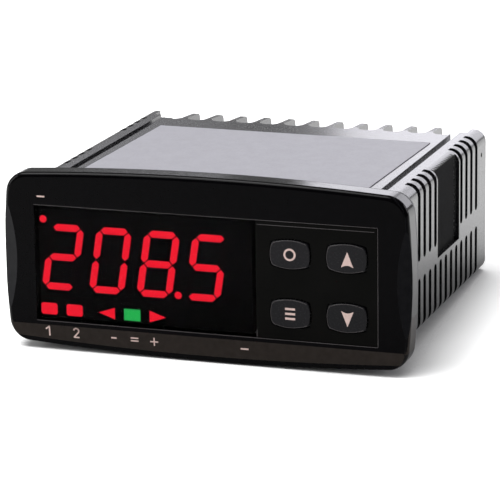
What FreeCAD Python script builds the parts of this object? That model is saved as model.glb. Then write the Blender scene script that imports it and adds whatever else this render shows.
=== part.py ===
import FreeCAD, Part
import math
import os
import re

import Sketcher
from FreeCAD import Vector

# Panel-mounted temperature controller, in millimetres.
#
# Frame: X to the right as seen from the front, Y into the panel, Z up. The origin is the
# centre of the panel plane, where the gasket's back face bears on the panel. The front
# frame stands at negative Y and the housing runs back through the cut-out at positive Y.

SIZES = (
    # front frame
    ("bezel_over_side", 3.6, "frame beyond the housing, each side"),
    ("bezel_over_top", 3.1, "frame beyond the housing, above and below"),
    ("bezel_front", 6.0, "front plane ahead of the panel"),
    ("bezel_fall", 0.5, "fall of the sloping lower border from window to rim"),
    ("bezel_bow_long", 1.4, "bow of the top and bottom edges"),
    ("bezel_bow_short", 0.9, "bow of the two short edges"),
    ("bezel_corner", 4.2, "corner radius of the outline"),
    ("bezel_edge", 0.9, "rounded front edge of the outline"),
    ("bezel_lip", 0.8, "flat rim below the window recess"),
    ("facet_width", 2.6, "crescent facet at each short edge, at its widest"),
    ("facet_radius", 32.5, "inner outline of the crescent facet"),
    ("facet_fall", 0.9, "fall of the crescent facet at its widest"),
    ("shadow_gap", 0.8, "height of the undercut behind the rim"),
    ("shadow_depth", 0.8, "depth of the undercut behind the rim"),
    ("gasket_thickness", 1.0, "sealing gasket"),
    ("gasket_inset", 0.4, "gasket edge inside the rim"),
    ("gasket_clearance", 0.3, "gasket opening around the housing"),
    # window and keypad
    ("border_side", 6.2, "frame edge to window recess, left and right"),
    ("border_top", 7.1, "frame edge to window recess, above"),
    ("border_bottom", 5.45, "frame edge to window recess, below"),
    ("window_inset", 0.1, "window face behind the front plane"),
    ("window_thickness", 0.8, "window and keypad plate"),
    ("window_clearance", 0.1, "window edge to recess"),
    ("keypad_width", 22.85, "recess edge to the joint of window and keypad plate"),
    ("ledge_width", 0.4, "seat of the window in the frame"),
    ("ledge_thickness", 0.8, "seat of the window, front to back"),
    # keys
    ("key_width", 7.5, "key cap, across"),
    ("key_height", 5.3, "key cap, up"),
    ("key_bow_long", 0.55, "bow of the key's top and bottom"),
    ("key_bow_short", 0.35, "bow of the key's sides"),
    ("key_corner", 0.6, "key corner radius"),
    ("key_edge", 0.2, "rounded front edge of the key"),
    ("key_proud", 0.35, "key cap ahead of the keypad plate"),
    ("key_clearance", 0.2, "key cap to its opening"),
    ("key_flange", 0.5, "retaining flange beyond the cap"),
    ("key_flange_thickness", 0.6, "retaining flange"),
    ("key_stem_radius", 1.4, "stem that presses the switch"),
    ("key_inset", 5.68, "right key column to the edge of the window recess"),
    ("key_pitch_across", 10.6, "key column to key column"),
    ("key_pitch_up", 10.96, "key row to key row"),
    ("key_drop", 0.45, "keys' middle below the middle of the window recess"),
    ("key_travel", 0.5, "full stroke of a key"),
    # front board and what stands on it
    ("board_thickness", 1.6, "both circuit boards"),
    ("front_board_face", 2.4, "front board face behind the panel plane"),
    ("board_clearance", 0.3, "board edge to housing wall"),
    ("switch_side", 6.0, "square body of a key switch"),
    ("switch_height", 3.5, "key switch body"),
    ("plunger_radius", 1.7, "switch plunger"),
    ("plunger_clearance", 0.2, "plunger to its bore"),
    ("plunger_length", 2.0, "switch plunger"),
    ("plunger_hold", 0.5, "plunger inside its bore at rest"),
    ("display_gap", 0.1, "display face to window"),
    ("display_side_gap", 0.1, "display to the ledge around it"),
    ("display_inset", 0.95, "display module short of the keypad plate"),
    ("segment_depth", 0.5, "light bars let into the display"),
    ("digit_height", 12.55, "figure height"),
    ("digit_width", 6.9, "figure width before the slant"),
    ("digit_pitch", 9.32, "figure to figure"),
    ("digit_inset", 0.7, "lower left of the first figure from the window recess"),
    ("digit_lift", 1.1, "figures' middle above the middle of the window recess"),
    ("digit_slant", 9.0, "lean of the figures, degrees"),
    ("segment_width", 1.32, "breadth of one light bar"),
    ("segment_gap", 0.16, "gap between light bars"),
    ("point_radius", 0.7, "decimal point and pilot light"),
    ("point_gap", 1.3, "decimal point's middle beyond its figure"),
    ("point_rise", 0.73, "decimal point's middle above the figures' foot"),
    ("pilot_inset", 1.4, "pilot light from the window recess's left edge"),
    ("pilot_drop", 2.8, "pilot light from the window recess's upper edge"),
    ("icon_height", 2.2, "status lights, up"),
    ("icon_width", 3.2, "status lights, across"),
    ("icon_corner", 0.3, "cut corners of the first two status lights"),
    ("icon_inset", 2.15, "first status light from the window recess's left edge"),
    ("icon_rise", 2.05, "status lights above the window recess's lower edge"),
    ("icon_pitch", 5.0, "status light to status light"),
    ("icon_gap", 6.35, "second status light to the arrows"),
    ("chip_side", 10.0, "controller chip"),
    ("chip_height", 1.4, "controller chip"),
    # housing
    ("body_width", 70.8, "housing, across"),
    ("body_height", 28.2, "housing, up"),
    ("body_depth", 60.0, "housing behind the panel plane"),
    ("body_corner", 2.3, "long edges of the housing"),
    ("side_wall", 2.2, "side walls"),
    ("top_wall", 2.0, "top and bottom walls"),
    ("rear_wall", 2.0, "rear wall"),
    ("spigot_clearance", 0.2, "housing to the frame around it"),
    ("rail_groove_inset", 5.7, "bracket groove's inner edge from the side"),
    ("rail_groove_width", 1.4, "bracket groove"),
    ("rail_groove_depth", 1.3, "bracket groove"),
    ("rail_lead_width", 1.4, "widening at the rear end of the groove"),
    ("rail_lead_length", 3.4, "widening at the rear end of the groove"),
    # ventilation slots and ratchet
    ("slot_first", 11.95, "first slot behind the panel"),
    ("slot_pitch", 3.7, "slot to slot"),
    ("slot_width", 1.8, "slot"),
    ("slot_upper_end", 0.3, "lower end of the upper slots, below centre"),
    ("slot_lower_end", 3.6, "upper end of the lower slots, below centre"),
    ("slot_reach", 0.3, "slots cut past the inside of the wall"),
    ("slot_group", 4, "upper slots on each side of the ratchet"),
    ("slot_count", 12, "slot positions along the side"),
    ("ratchet_margin", 0.7, "slot row to ratchet recess"),
    ("ratchet_depth", 0.9, "recess to the crest of the teeth"),
    ("ratchet_tooth", 0.6, "height of the teeth"),
    ("ratchet_pitch", 1.2, "tooth to tooth"),
    ("ratchet_foot", 2.9, "lower end of the recess, below centre"),
    ("cut_margin", 1.0, "side cuts started outside the wall"),
    ("dimple_radius", 0.45, "small mark high at the rear of each side"),
    ("dimple_depth", 0.4, "the same mark"),
    ("dimple_rear", 3.4, "the same mark, ahead of the rear face"),
    ("dimple_top", 4.3, "the same mark, below the top"),
    # rear terminals
    ("pole_count", 12, "screw terminals"),
    ("pole_pitch", 5.08, "terminal to terminal"),
    ("fin_thickness", 1.1, "partition between terminals"),
    ("fin_overhang", 2.4, "partitions behind the rear wall"),
    ("fin_fall", 0.5, "fall of the partitions toward the tip"),
    ("fin_tip", 1.3, "rounded tip of the partitions"),
    ("comb_front", 1.2, "wall in front of the terminal wells"),
    ("well_centre", 4.4, "centre of a well ahead of the rear face"),
    ("entry_height", 4.4, "wire entry, up"),
    ("entry_width", 3.9, "wire entry, across"),
    ("block_sole", 1.4, "terminal block below its chambers"),
    ("block_cover", 2.3, "terminal block above its chambers"),
    ("block_length", 7.6, "terminal block, front to back"),
    ("block_clearance", 0.2, "terminal block to housing"),
    ("block_gap", 0.3, "terminal block to the partitions above"),
    ("clamp_width", 3.7, "wire clamp"),
    ("clamp_length", 4.8, "wire clamp, front to back"),
    ("clamp_height", 4.2, "wire clamp"),
    ("clamp_sheet", 0.6, "wire clamp sheet"),
    ("clamp_clearance", 0.2, "wire clamp in its chamber"),
    ("clamp_margin", 0.8, "wire clamp ahead of the block's rear face"),
    ("screw_head_radius", 1.8, "terminal screw head"),
    ("screw_head_height", 1.5, "terminal screw head"),
    ("screw_radius", 1.2, "terminal screw shank"),
    ("screw_length", 2.8, "terminal screw shank"),
    ("screw_slot", 0.6, "driver slot, wide and deep"),
    ("screw_clearance", 0.15, "screw in its holes"),
    ("pin_side", 0.9, "solder pin"),
    ("pin_tail", 1.0, "solder pin below the board"),
    ("pin_hole_radius", 0.75, "solder pin hole"),
    # main board and what stands on it
    ("board_rise", 3.2, "main board above the housing's floor"),
    ("rib_depth", 1.0, "board guide ribs"),
    ("rib_height", 0.9, "board guide ribs"),
    ("rib_clearance", 0.05, "board between its ribs"),
    ("board_end_gap", 0.4, "main board to the rear wall"),
    ("relay_width", 10.0, "relay"),
    ("relay_length", 19.0, "relay"),
    ("relay_height", 15.3, "relay"),
    ("relay_pitch", 12.0, "relay to relay"),
    ("relay_margin", 1.8, "relays to the board's right edge"),
    ("relay_gap", 3.2, "relays to the terminal block"),
    ("core_width", 20.0, "transformer core"),
    ("core_height", 14.5, "transformer core"),
    ("core_length", 11.0, "transformer core"),
    ("core_leg", 3.2, "outer legs and yokes of the core"),
    ("core_margin", 3.8, "transformer to the board's left edge"),
    ("core_gap", 7.2, "winding to the terminal block"),
    ("winding_overhang", 3.5, "winding beyond the core"),
    ("winding_clearance", 0.1, "winding in the core"),
    ("bobbin_foot", 1.2, "transformer foot"),
    ("can_radius", 4.0, "smoothing capacitor"),
    ("can_height", 14.0, "smoothing capacitor"),
    ("can_pitch", 12.0, "capacitor to capacitor"),
    ("can_gap", 14.2, "rear capacitor's middle to the terminal block"),
    ("film_width", 13.0, "film capacitor"),
    ("film_length", 6.0, "film capacitor"),
    ("film_height", 11.0, "film capacitor"),
    ("film_gap", 7.0, "film capacitor behind the front board"),
    ("header_poles", 10, "pins between the two boards"),
    ("header_pitch", 2.54, "pins between the two boards"),
    ("header_side", 2.5, "plastic strip of the pins"),
    ("header_pin_side", 0.64, "header pin"),
    ("header_hole_radius", 0.5, "header pin hole"),
    ("rectifier_width", 8.5, "bridge rectifier"),
    ("rectifier_length", 6.4, "bridge rectifier"),
    ("rectifier_height", 3.2, "bridge rectifier"),
    ("rectifier_gap", 8.0, "bridge rectifier behind the front board"),
    # label on top
    ("label_width", 55.5, "label, across"),
    ("label_length", 43.0, "label, front to back"),
    ("label_thickness", 0.15, "label"),
    ("label_end_gap", 14.0, "label to the housing's rear face"),
    ("label_skew", 1.0, "label set slightly askew, degrees"),
)

# Positions that several pieces share, written once as formulas of the sizes above.
PLACES = {
    "bezel_width": "(body_width + 2 * bezel_over_side)",
    "bezel_height": "(body_height + 2 * bezel_over_top)",
    "window_width": "(bezel_width - 2 * border_side)",
    "window_left": "(0 - window_width / 2)",
    "window_top": "(bezel_height / 2 - border_top)",
    "window_bottom": "(border_bottom - bezel_height / 2)",
    "window_middle": "((window_top + window_bottom) / 2)",
    "window_split": "(window_width / 2 - keypad_width)",
    "window_face": "(window_inset - bezel_front)",
    "window_back": "(window_face + window_thickness)",
    "ledge_back": "(window_back + ledge_thickness)",
    "rim_back": "(0 - gasket_thickness - shadow_gap)",
    "key_right": "(window_width / 2 - key_inset)",
    "key_left": "(key_right - key_pitch_across)",
    "key_upper": "(window_middle - key_drop + key_pitch_up / 2)",
    "key_lower": "(window_middle - key_drop - key_pitch_up / 2)",
    "key_face": "(window_face - key_proud)",
    "flange_back": "(window_back + key_flange_thickness)",
    "switch_front": "(front_board_face - switch_height)",
    "plunger_front": "(switch_front + plunger_hold - plunger_length)",
    "front_board_back": "(front_board_face + board_thickness)",
    "display_face": "(window_back + display_gap)",
    "digit_foot": "(window_middle + digit_lift - digit_height / 2)",
    "half_width": "(body_width / 2)",
    "half_height": "(body_height / 2)",
    "inner_half_width": "(half_width - side_wall)",
    "inner_half_height": "(half_height - top_wall)",
    "inner_back": "(body_depth - rear_wall)",
    "rail_groove_start": "(half_width - rail_groove_inset)",
    "comb_back": "(body_depth + fin_overhang)",
    "well_radius": "(pole_pitch / 2 - fin_thickness / 2)",
    "well_middle": "(body_depth - well_centre)",
    "comb_start": "(well_middle - well_radius - comb_front)",
    "comb_half": "(pole_count * pole_pitch / 2)",
    "first_pole": "(0 - (pole_count - 1) * pole_pitch / 2)",
    "recess_start": "(slot_first + (slot_group - 1) * slot_pitch + slot_width / 2 + ratchet_margin)",
    "recess_end": "(slot_first + (slot_count - slot_group) * slot_pitch"
                  " - slot_width / 2 - ratchet_margin)",
    "board_bottom": "(board_rise - inner_half_height)",
    "board_top": "(board_bottom + board_thickness)",
    "board_right": "(inner_half_width - board_clearance)",
    "block_back": "(inner_back - block_clearance)",
    "block_front": "(block_back - block_length)",
    "clamp_back": "(block_back - clamp_margin)",
    "clamp_middle": "(clamp_back - clamp_length / 2)",
    "clamp_foot": "(board_top + block_sole)",
    "clamp_top": "(clamp_foot + clamp_height)",
    "entry_top": "(clamp_top + clamp_clearance)",
    "block_top": "(entry_top + block_cover)",
    "comb_floor": "(block_top + block_gap)",
    "core_foot": "(board_top + bobbin_foot)",
    "core_middle": "(core_margin + core_width / 2 - board_right)",
    "core_behind": "(block_front - core_gap - winding_overhang - core_length / 2)",
    "relay_start": "(board_right - relay_margin - relay_pitch - relay_width)",
    "relay_behind": "(block_front - relay_gap - relay_length)",
    "can_behind": "(block_front - can_gap - can_pitch)",
    "label_behind": "(body_depth - label_end_gap - label_length / 2)",
}

doc = FreeCAD.newDocument("TemperatureController")
sheet = doc.addObject("Spreadsheet::Sheet", "Sizes")
for row, (alias, value, note) in enumerate(SIZES, start=1):
    sheet.set(f"A{row}", note)
    sheet.set(f"B{row}", str(value))
    sheet.setAlias(f"B{row}", alias)
doc.recompute()

NAMES = {alias for alias, _, _ in SIZES}
WORD = re.compile(r"[a-z]+(?:_[a-z]+)+")
PIECES = []


def size(name):
    """A driving size as a number."""
    return float(sheet.get(name))


def linked(formula):
    """The formula with every shared place written out and every size tied to the sheet."""
    formula = str(formula)
    while any(word in PLACES for word in WORD.findall(formula)):
        formula = WORD.sub(lambda m: PLACES.get(m.group(), m.group()), formula)
    return WORD.sub(lambda m: "Sizes." + m.group() if m.group() in NAMES else m.group(), formula)


def number(formula):
    """The value of a formula, worked out by the sheet's own expression engine."""
    return float(sheet.evalExpression(linked(formula)))


def keep(piece, name):
    """Names a finished piece; the name is also its file's name."""
    piece.Label = name
    PIECES.append(piece)
    return piece


# ---------------------------------------------------------------- PartDesign helpers


def new_body(name):
    body = doc.addObject("PartDesign::Body", name)
    body.AllowCompound = True
    return keep(body, name)


def origin_part(body, role):
    return next(item for item in body.Origin.OriginFeatures if item.Role == role)


def new_sketch(body, name, plane, level):
    """A sketch parallel to an origin plane. The level is the Y, Z or X of its plane."""
    sketch = body.newObject("Sketcher::SketchObject", name)
    sketch.AttachmentSupport = [(origin_part(body, plane), "")]
    sketch.MapMode = "FlatFace"
    sign = "0 - " if plane == "XZ_Plane" else ""
    sketch.setExpression("AttachmentOffset.Base.z", linked(f"{sign}({level})"))
    return sketch


def fix_point(sketch, geometry, vertex, across, up):
    """Ties a point of the sketch to two formulas, measured from the sketch's origin."""
    for kind, formula in (("DistanceX", across), ("DistanceY", up)):
        value = number(formula)
        index = sketch.addConstraint(Sketcher.Constraint(kind, -1, 1, geometry, vertex, value))
        sketch.setExpression(f"Constraints[{index}]", linked(formula))


def draw_polygon(sketch, points):
    """A closed polygon through points given as pairs of formulas."""
    spots = [Vector(number(across), number(up), 0) for across, up in points]
    ends = spots[1:] + spots[:1]
    lines = [sketch.addGeometry(Part.LineSegment(a, b)) for a, b in zip(spots, ends)]
    for line, after in zip(lines, lines[1:] + lines[:1]):
        sketch.addConstraint(Sketcher.Constraint("Coincident", line, 2, after, 1))
    for line, (across, up) in zip(lines, points):
        fix_point(sketch, line, 1, across, up)


def draw_rectangle(sketch, left, right, low, high):
    draw_polygon(sketch, ((left, low), (right, low), (right, high), (left, high)))


def draw_circle(sketch, across, up, radius):
    spot = Vector(number(across), number(up), 0)
    circle = sketch.addGeometry(Part.Circle(spot, Vector(0, 0, 1), number(radius)))
    fix_point(sketch, circle, 3, across, up)
    index = sketch.addConstraint(Sketcher.Constraint("Radius", circle, number(radius)))
    sketch.setExpression(f"Constraints[{index}]", linked(radius))


def draw_slot(sketch, first, second, bend, end):
    """A slot with a half-round end. Its two sides, the first and the second, start at the
    bend and run to the open end."""
    x0, x1 = number(first), number(second)
    y0, y1 = number(bend), number(end)
    middle = Vector((x0 + x1) / 2, y0 - (x1 - x0) / 2, 0)
    arc = sketch.addGeometry(Part.Arc(Vector(x0, y0, 0), middle, Vector(x1, y0, 0)))
    lines = [sketch.addGeometry(Part.LineSegment(Vector(*a, 0), Vector(*b, 0)))
             for a, b in (((x1, y0), (x1, y1)), ((x1, y1), (x0, y1)), ((x0, y1), (x0, y0)))]
    chain = [arc] + lines
    for part, after in zip(chain, chain[1:] + chain[:1]):
        sketch.addConstraint(Sketcher.Constraint("Coincident", part, 2, after, 1))
    fix_point(sketch, arc, 1, first, bend)
    fix_point(sketch, lines[0], 1, second, bend)
    fix_point(sketch, lines[1], 1, second, end)
    fix_point(sketch, lines[2], 1, first, end)
    index = sketch.addConstraint(Sketcher.Constraint("DistanceY", -1, 1, arc, 3, y0))
    sketch.setExpression(f"Constraints[{index}]", linked(bend))


def draw_cushion(sketch, across, up, width, height, bow_long, bow_short):
    """A rectangle whose four sides bow outward, centred on a point. Width and height are
    measured over the bows."""
    half_w = f"(({width}) / 2 - ({bow_short}))"
    half_h = f"(({height}) / 2 - ({bow_long}))"
    corners = [(f"({across}) {sx} {half_w}", f"({up}) {sy} {half_h}")
               for sx, sy in (("-", "-"), ("+", "-"), ("+", "+"), ("-", "+"))]
    middles = [(across, f"({up}) - ({height}) / 2"), (f"({across}) + ({width}) / 2", up),
               (across, f"({up}) + ({height}) / 2"), (f"({across}) - ({width}) / 2", up)]
    chords = [(half_w, bow_long), (half_h, bow_short)] * 2
    spots = [Vector(number(a), number(b), 0) for a, b in corners]
    tops = [Vector(number(a), number(b), 0) for a, b in middles]
    arcs = [sketch.addGeometry(Part.Arc(spots[i], tops[i], spots[(i + 1) % 4]))
            for i in range(4)]
    for arc, after in zip(arcs, arcs[1:] + arcs[:1]):
        sketch.addConstraint(Sketcher.Constraint("Coincident", arc, 2, after, 1))
    for arc, corner, (half, bow) in zip(arcs, corners, chords):
        fix_point(sketch, arc, 1, *corner)
        radius = f"(({half}) * ({half}) + ({bow}) * ({bow})) / (2 * ({bow}))"
        index = sketch.addConstraint(Sketcher.Constraint("Radius", arc, number(radius)))
        sketch.setExpression(f"Constraints[{index}]", linked(radius))


def add_feature(body, kind, name, sketch, length, reverse=False, midplane=False):
    """A pad runs along the sketch's normal and a pocket against it, unless reversed."""
    feature = body.newObject(f"PartDesign::{kind}", name)
    feature.Profile = sketch
    feature.setExpression("Length", linked(length))
    feature.Reversed = reverse
    feature.Midplane = midplane
    sketch.Visibility = False
    doc.recompute()
    return feature


def add_row(body, features, axis, count, pitch):
    """Repeats features along an axis of the body."""
    row = body.newObject("PartDesign::LinearPattern", features[0].Name + "Row")
    row.Originals = features
    row.Direction = (origin_part(body, axis), [""])
    row.setExpression("Occurrences", linked(count))
    row.setExpression("Length", linked(f"(({count}) - 1) * ({pitch})"))
    body.Tip = row
    doc.recompute()
    return row


def dress_edges(body, kind, measure, name, wanted, formula):
    """Rounds or bevels the edges of the current shape that the test picks out."""
    base = body.Tip
    edges = [f"Edge{i}" for i, edge in enumerate(base.Shape.Edges, start=1) if wanted(edge)]
    feature = body.newObject(f"PartDesign::{kind}", name)
    feature.Base = (base, edges)
    feature.setExpression(measure, linked(formula))
    doc.recompute()
    return feature


def add_fillet(body, name, wanted, radius):
    return dress_edges(body, "Fillet", "Radius", name, wanted, radius)


def add_chamfer(body, name, wanted, depth):
    return dress_edges(body, "Chamfer", "Size", name, wanted, depth)


def runs_along_y(edge):
    box = edge.BoundBox
    return box.XLength < 1e-6 and box.ZLength < 1e-6 and box.YLength > 1e-6


# ------------------------------------------------------------------ Part helpers


def block(name, left, right, front, back, low, high):
    """A box between six faces, each given as a formula."""
    box = doc.addObject("Part::Box", name)
    spans = (("Length", "x", left, right), ("Width", "y", front, back), ("Height", "z", low, high))
    for edge, axis, start, end in spans:
        box.setExpression(edge, linked(f"({end}) - ({start})"))
        box.setExpression(f"Placement.Base.{axis}", linked(start))
    return box


def rod(name, radius, across, front, back, up):
    """A round bar that runs front to back."""
    bar = doc.addObject("Part::Cylinder", name)
    bar.Placement = FreeCAD.Placement(Vector(), FreeCAD.Rotation(Vector(1, 0, 0), -90))
    bar.setExpression("Radius", linked(radius))
    bar.setExpression("Height", linked(f"({back}) - ({front})"))
    for axis, place in (("x", across), ("y", front), ("z", up)):
        bar.setExpression(f"Placement.Base.{axis}", linked(place))
    return bar


def cut(name, base, tool):
    result = doc.addObject("Part::Cut", name)
    result.Base = base
    result.Tool = tool
    return result


# ------------------------------------------------------------------- front frame


def make_bezel():
    """Glossy front frame: a cushion outline with a rounded front edge, a lower border that
    slopes back from the window, a crescent facet at each short edge, an undercut behind the
    rim and a socket for the housing."""
    body = new_body("front_bezel")
    back = new_sketch(body, "BezelBackOutline", "XZ_Plane", "0 - gasket_thickness")
    draw_cushion(back, "0", "0", "bezel_width - 2 * shadow_depth",
                 "bezel_height - 2 * shadow_depth", "bezel_bow_long", "bezel_bow_short")
    add_feature(body, "Pad", "BezelBack", back, "2 * shadow_gap")
    add_fillet(body, "BezelBackCorners", runs_along_y, "bezel_corner - shadow_depth")
    outline = new_sketch(body, "BezelOutline", "XZ_Plane", "rim_back")
    draw_cushion(outline, "0", "0", "bezel_width", "bezel_height",
                 "bezel_bow_long", "bezel_bow_short")
    add_feature(body, "Pad", "BezelRim", outline, "bezel_front + rim_back")
    outer = number("bezel_width / 2 - bezel_bow_short") - 0.01
    add_fillet(body, "BezelCorners",
               lambda e: runs_along_y(e) and abs(e.BoundBox.Center.x) > outer, "bezel_corner")

    front = "0 - bezel_front"
    nose = number(front)
    add_fillet(body, "BezelEdge", lambda e: e.BoundBox.YMax < nose + 1e-4, "bezel_edge")

    slope = new_sketch(body, "LowerBorderProfile", "YZ_Plane", "0")
    slope_foot = "(2 * (0 - bezel_height / 2) - (window_bottom - bezel_lip))"
    draw_polygon(slope, ((front, "window_bottom - bezel_lip"), (front, slope_foot),
                         (f"{front} + 2 * bezel_fall", slope_foot)))
    add_feature(body, "Pocket", "LowerBorder", slope, "bezel_width * 2", midplane=True)
    for name, side in (("Left", "-"), ("Right", "+")):
        crescent = new_sketch(body, f"{name}FacetOutline", "XZ_Plane", front)
        draw_circle(crescent, f"0 {side} (bezel_width / 2 - facet_width + facet_radius)", "0",
                    "facet_radius")
        facet = add_feature(body, "Pocket", f"{name}Facet", crescent, "2 * facet_fall")
        facet.UseCustomVector = True
        facet.AlongSketchNormal = True
        facet.setExpression("Direction.x", linked(f"0 {side} facet_width"))
        facet.setExpression("Direction.y", linked("facet_fall"))
        facet.setExpression("Direction.z", "0")

    recess = new_sketch(body, "WindowRecessOutline", "XZ_Plane", front)
    draw_rectangle(recess, "window_left", "window_width / 2",
                   "window_bottom", "window_top")
    add_feature(body, "Pocket", "WindowRecess", recess, "window_inset + window_thickness")
    ledge = new_sketch(body, "LedgeOutline", "XZ_Plane", "window_back")
    draw_rectangle(ledge, "window_left + ledge_width", "window_width / 2 - ledge_width",
                   "window_bottom + ledge_width", "window_top - ledge_width")
    add_feature(body, "Pocket", "LedgeOpening", ledge, "ledge_thickness")
    socket = new_sketch(body, "SocketOutline", "XZ_Plane", "ledge_back")
    draw_rectangle(socket, "0 - half_width - spigot_clearance", "half_width + spigot_clearance",
                   "0 - half_height - spigot_clearance", "half_height + spigot_clearance")
    add_feature(body, "Pocket", "HousingSocket", socket, "bezel_front")


def make_gasket():
    body = new_body("panel_gasket")
    outline = new_sketch(body, "GasketOutline", "XZ_Plane", "0")
    draw_cushion(outline, "0", "0", "bezel_width - 2 * gasket_inset",
                 "bezel_height - 2 * gasket_inset", "bezel_bow_long", "bezel_bow_short")
    add_feature(body, "Pad", "GasketSheet", outline, "gasket_thickness")
    add_fillet(body, "GasketCorners", runs_along_y, "bezel_corner - gasket_inset")
    opening = new_sketch(body, "GasketOpeningOutline", "XZ_Plane", "0 - gasket_thickness")
    draw_rectangle(opening, "0 - half_width - gasket_clearance", "half_width + gasket_clearance",
                   "0 - half_height - gasket_clearance", "half_height + gasket_clearance")
    add_feature(body, "Pocket", "GasketOpening", opening, "gasket_thickness")


def make_window():
    keep(block("DisplayWindow",
               "window_left + window_clearance", "window_split - window_clearance",
               "window_face", "window_back",
               "window_bottom + window_clearance", "window_top - window_clearance"),
         "display_window")


KEYS = (
    ("function", "key_left", "key_upper"),
    ("program", "key_left", "key_lower"),
    ("up", "key_right", "key_upper"),
    ("down", "key_right", "key_lower"),
)


def make_keypad_plate():
    """Plate beside the window, with one barrel-shaped opening for each key."""
    body = new_body("keypad_plate")
    outline = new_sketch(body, "PlateOutline", "XZ_Plane", "window_back")
    draw_rectangle(outline, "window_split + window_clearance",
                   "window_width / 2 - window_clearance",
                   "window_bottom + window_clearance", "window_top - window_clearance")
    add_feature(body, "Pad", "Plate", outline, "window_thickness")
    for key, across, up in KEYS:
        opening = new_sketch(body, f"Opening{key.title()}Outline", "XZ_Plane", "window_face")
        draw_cushion(opening, across, up, "key_width + 2 * key_clearance",
                     "key_height + 2 * key_clearance", "key_bow_long", "key_bow_short")
        add_feature(body, "Pocket", f"Opening{key.title()}", opening, "window_thickness")


def make_key(key, across, up):
    """Key cap, its retaining flange behind the plate and the stem on the switch."""
    body = new_body(f"key_{key}")
    title = key.title()
    cap = new_sketch(body, f"Cap{title}Outline", "XZ_Plane", "window_back")
    draw_cushion(cap, across, up, "key_width", "key_height", "key_bow_long", "key_bow_short")
    add_feature(body, "Pad", f"Cap{title}", cap, "window_back - key_face")
    add_fillet(body, f"CapCorners{title}", runs_along_y, "key_corner")
    front = number("key_face")
    add_fillet(body, f"CapEdge{title}", lambda e: e.BoundBox.YMax < front + 1e-4, "key_edge")
    flange = new_sketch(body, f"Flange{title}Outline", "XZ_Plane", "flange_back")
    draw_rectangle(flange, f"({across}) - key_width / 2 - key_flange",
                   f"({across}) + key_width / 2 + key_flange",
                   f"({up}) - key_height / 2 - key_flange",
                   f"({up}) + key_height / 2 + key_flange")
    add_feature(body, "Pad", f"Flange{title}", flange, "key_flange_thickness")
    stem = new_sketch(body, f"Stem{title}Outline", "XZ_Plane", "plunger_front")
    draw_circle(stem, across, up, "key_stem_radius")
    add_feature(body, "Pad", f"Stem{title}", stem, "plunger_front - flange_back")


def make_switch(key, across, up):
    """Push switch behind a key: a square body with a bore, and the plunger in it."""
    side = "switch_side / 2"
    base = block(f"SwitchBox{key}", f"({across}) - {side}", f"({across}) + {side}",
                 "switch_front", "front_board_face", f"({up}) - {side}", f"({up}) + {side}")
    bore = rod(f"SwitchBore{key}", "plunger_radius + plunger_clearance", across, "switch_front",
               "switch_front + plunger_hold + key_travel + plunger_clearance", up)
    keep(cut(f"Switch{key}", base, bore), f"switch_{key}")
    keep(rod(f"Plunger{key}", "plunger_radius", across, "plunger_front",
             "plunger_front + plunger_length", up), f"plunger_{key}")


# ----------------------------------------------------------------------- display


def bar_outlines():
    """The seven light bars of one upright figure, as lists of points from its lower left.
    Each bar is a hexagon with pointed ends; the order is a to g."""
    width, height = size("digit_width"), size("digit_height")
    breadth, gap = size("segment_width"), size("segment_gap")
    half = breadth / 2
    left, right = half, width - half
    low, middle, high = half, height / 2, height - half

    def flat(y):
        a, b = left + gap, right - gap
        return [(a, y), (a + half, y + half), (b - half, y + half),
                (b, y), (b - half, y - half), (a + half, y - half)]

    def upright(x, foot, top):
        a, b = foot + gap, top - gap
        return [(x, a), (x + half, a + half), (x + half, b - half),
                (x, b), (x - half, b - half), (x - half, a + half)]

    return [flat(high), upright(right, middle, high), upright(right, low, middle), flat(low),
            upright(left, low, middle), upright(left, middle, high), flat(middle)]


LIT_BARS = ("abged", "abcdef", "abcdefg", "afgcd")
POINT_PLACE = 2


def prism(points):
    """A flat figure in the display's face, let in by the depth of the light bars."""
    face_y = number("display_face")
    corners = [Vector(x, face_y, z) for x, z in points]
    outline = Part.Face(Part.makePolygon(corners + corners[:1]))
    return outline.extrude(Vector(0, size("segment_depth"), 0))


def disc(x, z):
    centre = Vector(x, number("display_face"), z)
    return Part.makeCylinder(size("point_radius"), size("segment_depth"), centre, Vector(0, 1, 0))


def figure_bars():
    """All light bars of the four leaning figures, split into lit and dark ones."""
    lean = math.tan(math.radians(size("digit_slant")))
    foot = number("digit_foot")
    lit, dark = [], []
    for place, shown in enumerate(LIT_BARS):
        start = number("window_left + digit_inset") + place * size("digit_pitch")
        for letter, points in zip("abcdefg", bar_outlines()):
            moved = [(start + x + z * lean, foot + z) for x, z in points]
            (lit if letter in shown else dark).append(prism(moved))
        point = disc(start + number("digit_width + point_gap"), foot + size("point_rise"))
        (lit if place == POINT_PLACE else dark).append(point)
    return lit, dark


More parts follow.
